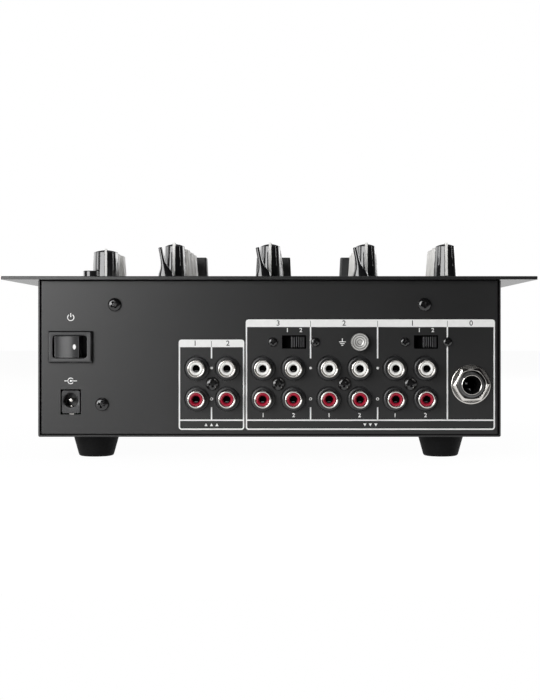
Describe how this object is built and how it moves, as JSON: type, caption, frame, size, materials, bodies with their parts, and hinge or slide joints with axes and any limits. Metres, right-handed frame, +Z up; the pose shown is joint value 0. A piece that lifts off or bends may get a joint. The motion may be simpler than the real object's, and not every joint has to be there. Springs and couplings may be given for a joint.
{
  "type": "dj mixer",
  "caption": "Table-top audio mixer in a folded steel case under an overhanging control plate, with knobs, faders and levers on top and a rear panel of phono sockets.",
  "frame": {"origin": "on the table, under the middle of the overall box", "axes": "+Z up, +Y to the rear where the jack panel faces, +X to the player's right"},
  "size_m": [0.254, 0.3084, 0.1039],
  "materials": {
    "black_steel": "satin black powder coat",
    "black_plastic": "fine-grained black",
    "gloss_black": "glossy black",
    "black_rubber": "matt",
    "black_screw": "black oxide",
    "nickel": "bright nickel",
    "zinc": "zinc plated",
    "white_plastic": "off-white",
    "red_plastic": "crimson",
    "circuit_board": "green solder mask",
    "grey_cable": "ribbon",
    "meter_window": "smoked"
  },
  "bodies": {
    "chassis": {"chassis_tray": "black_steel", "rear_panel": "black_steel", "front_panel": "black_steel", "top_plate": "black_steel", "rubber_feet": "black_rubber", "case_screws": "black_screw", "rear_panel_screws": "black_screw", "selector_screws": "black_screw", "control_board": "circuit_board", "input_board": "circuit_board", "power_board": "circuit_board", "board_standoffs": "zinc", "ribbon_cable": "grey_cable", "potentiometer_bodies": "zinc", "switch_bodies": "black_plastic", "level_meter": "meter_window", "fader_housings": "zinc", "rca_jack_housings": "black_plastic", "rca_shells": "nickel", "rca_white_insulators": "white_plastic", "rca_red_insulators": "red_plastic", "selector_frames": "zinc", "ground_bush": "zinc", "phone_jacks": "black_plastic", "phone_jack_nuts": "nickel", "power_switch_frame": "black_plastic", "power_inlet": "black_plastic"},
    "mic_level_knob": {"mic_level_knob": "gloss_black"},
    "mic_treble_knob": {"mic_treble_knob": "gloss_black"},
    "mic_bass_knob": {"mic_bass_knob": "gloss_black"},
    "channel_1_gain_knob": {"channel_1_gain_knob": "gloss_black"},
    "channel_1_treble_knob": {"channel_1_treble_knob": "gloss_black"},
    "channel_1_mid_knob": {"channel_1_mid_knob": "gloss_black"},
    "channel_1_bass_knob": {"channel_1_bass_knob": "gloss_black"},
    "channel_2_gain_knob": {"channel_2_gain_knob": "gloss_black"},
    "channel_2_treble_knob": {"channel_2_treble_knob": "gloss_black"},
    "channel_2_mid_knob": {"channel_2_mid_knob": "gloss_black"},
    "channel_2_bass_knob": {"channel_2_bass_knob": "gloss_black"},
    "channel_3_gain_knob": {"channel_3_gain_knob": "gloss_black"},
    "channel_3_treble_knob": {"channel_3_treble_knob": "gloss_black"},
    "channel_3_mid_knob": {"channel_3_mid_knob": "gloss_black"},
    "channel_3_bass_knob": {"channel_3_bass_knob": "gloss_black"},
    "master_level_knob": {"master_level_knob": "gloss_black"},
    "cue_mix_knob": {"cue_mix_knob": "gloss_black"},
    "cue_level_knob": {"cue_level_knob": "gloss_black"},
    "channel_1_input_lever": {"channel_1_input_lever": "gloss_black"},
    "channel_2_input_lever": {"channel_2_input_lever": "gloss_black"},
    "channel_3_input_lever": {"channel_3_input_lever": "gloss_black"},
    "mono_button": {"mono_button": "gloss_black"},
    "channel_1_cue_button": {"channel_1_cue_button": "gloss_black"},
    "channel_2_cue_button": {"channel_2_cue_button": "gloss_black"},
    "channel_3_cue_button": {"channel_3_cue_button": "gloss_black"},
    "channel_1_fader": {"channel_1_fader": "gloss_black"},
    "channel_2_fader": {"channel_2_fader": "gloss_black"},
    "channel_3_fader": {"channel_3_fader": "gloss_black"},
    "crossfader": {"crossfader": "gloss_black"},
    "channel_3_selector": {"channel_3_selector": "black_plastic"},
    "channel_1_selector": {"channel_1_selector": "black_plastic"},
    "power_rocker": {"power_rocker": "gloss_black"},
    "ground_screw": {"ground_screw": "zinc"}
  },
  "joints": [
    {"name": "mic_level_turn", "type": "hinge", "parent": "chassis", "child": "mic_level_knob", "pos_m": [-0.0861, 0.12275, 0.0867], "axis": [0, 0, 1], "range_deg": [-150, 150]},
    {"name": "mic_treble_turn", "type": "hinge", "parent": "chassis", "child": "mic_treble_knob", "pos_m": [-0.0861, 0.10075, 0.0867], "axis": [0, 0, 1], "range_deg": [-150, 150]},
    {"name": "mic_bass_turn", "type": "hinge", "parent": "chassis", "child": "mic_bass_knob", "pos_m": [-0.0861, 0.07875, 0.0867], "axis": [0, 0, 1], "range_deg": [-150, 150]},
    {"name": "channel_1_gain_turn", "type": "hinge", "parent": "chassis", "child": "channel_1_gain_knob", "pos_m": [-0.047, 0.12275, 0.0867], "axis": [0, 0, 1], "range_deg": [-150, 150]},
    {"name": "channel_1_treble_turn", "type": "hinge", "parent": "chassis", "child": "channel_1_treble_knob", "pos_m": [-0.047, 0.08675, 0.0867], "axis": [0, 0, 1], "range_deg": [-150, 150]},
    {"name": "channel_1_mid_turn", "type": "hinge", "parent": "chassis", "child": "channel_1_mid_knob", "pos_m": [-0.047, 0.06175, 0.0867], "axis": [0, 0, 1], "range_deg": [-150, 150]},
    {"name": "channel_1_bass_turn", "type": "hinge", "parent": "chassis", "child": "channel_1_bass_knob", "pos_m": [-0.047, 0.03675, 0.0867], "axis": [0, 0, 1], "range_deg": [-150, 150]},
    {"name": "channel_2_gain_turn", "type": "hinge", "parent": "chassis", "child": "channel_2_gain_knob", "pos_m": [0, 0.12275, 0.0867], "axis": [0, 0, 1], "range_deg": [-150, 150]},
    {"name": "channel_2_treble_turn", "type": "hinge", "parent": "chassis", "child": "channel_2_treble_knob", "pos_m": [0, 0.08675, 0.0867], "axis": [0, 0, 1], "range_deg": [-150, 150]},
    {"name": "channel_2_mid_turn", "type": "hinge", "parent": "chassis", "child": "channel_2_mid_knob", "pos_m": [0, 0.06175, 0.0867], "axis": [0, 0, 1], "range_deg": [-150, 150]},
    {"name": "channel_2_bass_turn", "type": "hinge", "parent": "chassis", "child": "channel_2_bass_knob", "pos_m": [0, 0.03675, 0.0867], "axis": [0, 0, 1], "range_deg": [-150, 150]},
    {"name": "channel_3_gain_turn", "type": "hinge", "parent": "chassis", "child": "channel_3_gain_knob", "pos_m": [0.047, 0.12275, 0.0867], "axis": [0, 0, 1], "range_deg": [-150, 150]},
    {"name": "channel_3_treble_turn", "type": "hinge", "parent": "chassis", "child": "channel_3_treble_knob", "pos_m": [0.047, 0.08675, 0.0867], "axis": [0, 0, 1], "range_deg": [-150, 150]},
    {"name": "channel_3_mid_turn", "type": "hinge", "parent": "chassis", "child": "channel_3_mid_knob", "pos_m": [0.047, 0.06175, 0.0867], "axis": [0, 0, 1], "range_deg": [-150, 150]},
    {"name": "channel_3_bass_turn", "type": "hinge", "parent": "chassis", "child": "channel_3_bass_knob", "pos_m": [0.047, 0.03675, 0.0867], "axis": [0, 0, 1], "range_deg": [-150, 150]},
    {"name": "master_level_turn", "type": "hinge", "parent": "chassis", "child": "master_level_knob", "pos_m": [0.08775, 0.07075, 0.0867], "axis": [0, 0, 1], "range_deg": [-150, 150]},
    {"name": "cue_mix_turn", "type": "hinge", "parent": "chassis", "child": "cue_mix_knob", "pos_m": [0.08775, 0.04875, 0.0867], "axis": [0, 0, 1], "range_deg": [-150, 150]},
    {"name": "cue_level_turn", "type": "hinge", "parent": "chassis", "child": "cue_level_knob", "pos_m": [0.08775, 0.02675, 0.0867], "axis": [0, 0, 1], "range_deg": [-150, 150]},
    {"name": "channel_1_input_tilt", "type": "hinge", "parent": "chassis", "child": "channel_1_input_lever", "pos_m": [-0.0462, 0.13575, 0.0755], "axis": [0, 1, 0], "range_deg": [-23, 0]},
    {"name": "channel_2_input_tilt", "type": "hinge", "parent": "chassis", "child": "channel_2_input_lever", "pos_m": [0.0008, 0.13575, 0.0755], "axis": [0, 1, 0], "range_deg": [-23, 0]},
    {"name": "channel_3_input_tilt", "type": "hinge", "parent": "chassis", "child": "channel_3_input_lever", "pos_m": [0.0478, 0.13575, 0.0755], "axis": [0, 1, 0], "range_deg": [-23, 0]},
    {"name": "mono_press", "type": "slide", "parent": "chassis", "child": "mono_button", "axis": [0, 0, -1], "range_m": [0, 0.0015], "stiffness_N_per_m": 200},
    {"name": "channel_1_cue_press", "type": "slide", "parent": "chassis", "child": "channel_1_cue_button", "axis": [0, 0, -1], "range_m": [0, 0.0015], "stiffness_N_per_m": 200},
    {"name": "channel_2_cue_press", "type": "slide", "parent": "chassis", "child": "channel_2_cue_button", "axis": [0, 0, -1], "range_m": [0, 0.0015], "stiffness_N_per_m": 200},
    {"name": "channel_3_cue_press", "type": "slide", "parent": "chassis", "child": "channel_3_cue_button", "axis": [0, 0, -1], "range_m": [0, 0.0015], "stiffness_N_per_m": 200},
    {"name": "channel_1_fader_slide", "type": "slide", "parent": "chassis", "child": "channel_1_fader", "axis": [0, -1, 0], "range_m": [0, 0.06]},
    {"name": "channel_2_fader_slide", "type": "slide", "parent": "chassis", "child": "channel_2_fader", "axis": [0, -1, 0], "range_m": [0, 0.06]},
    {"name": "channel_3_fader_slide", "type": "slide", "parent": "chassis", "child": "channel_3_fader", "axis": [0, -1, 0], "range_m": [0, 0.06]},
    {"name": "crossfader_slide", "type": "slide", "parent": "chassis", "child": "crossfader", "axis": [1, 0, 0], "range_m": [-0.0225, 0.0225]},
    {"name": "channel_3_selector_slide", "type": "slide", "parent": "chassis", "child": "channel_3_selector", "axis": [1, 0, 0], "range_m": [0, 0.0036]},
    {"name": "channel_1_selector_slide", "type": "slide", "parent": "chassis", "child": "channel_1_selector", "axis": [1, 0, 0], "range_m": [0, 0.0036]},
    {"name": "power_rocker_tip", "type": "hinge", "parent": "chassis", "child": "power_rocker", "pos_m": [0.0946, 0.14275, 0.0532], "axis": [0, 0, 1], "range_deg": [0, 26]},
    {"name": "ground_screw_turn", "type": "hinge", "parent": "chassis", "child": "ground_screw", "pos_m": [-0.04285, 0.14575, 0.0555], "axis": [0, 1, 0], "range_deg": [0, 720]}
  ]
}
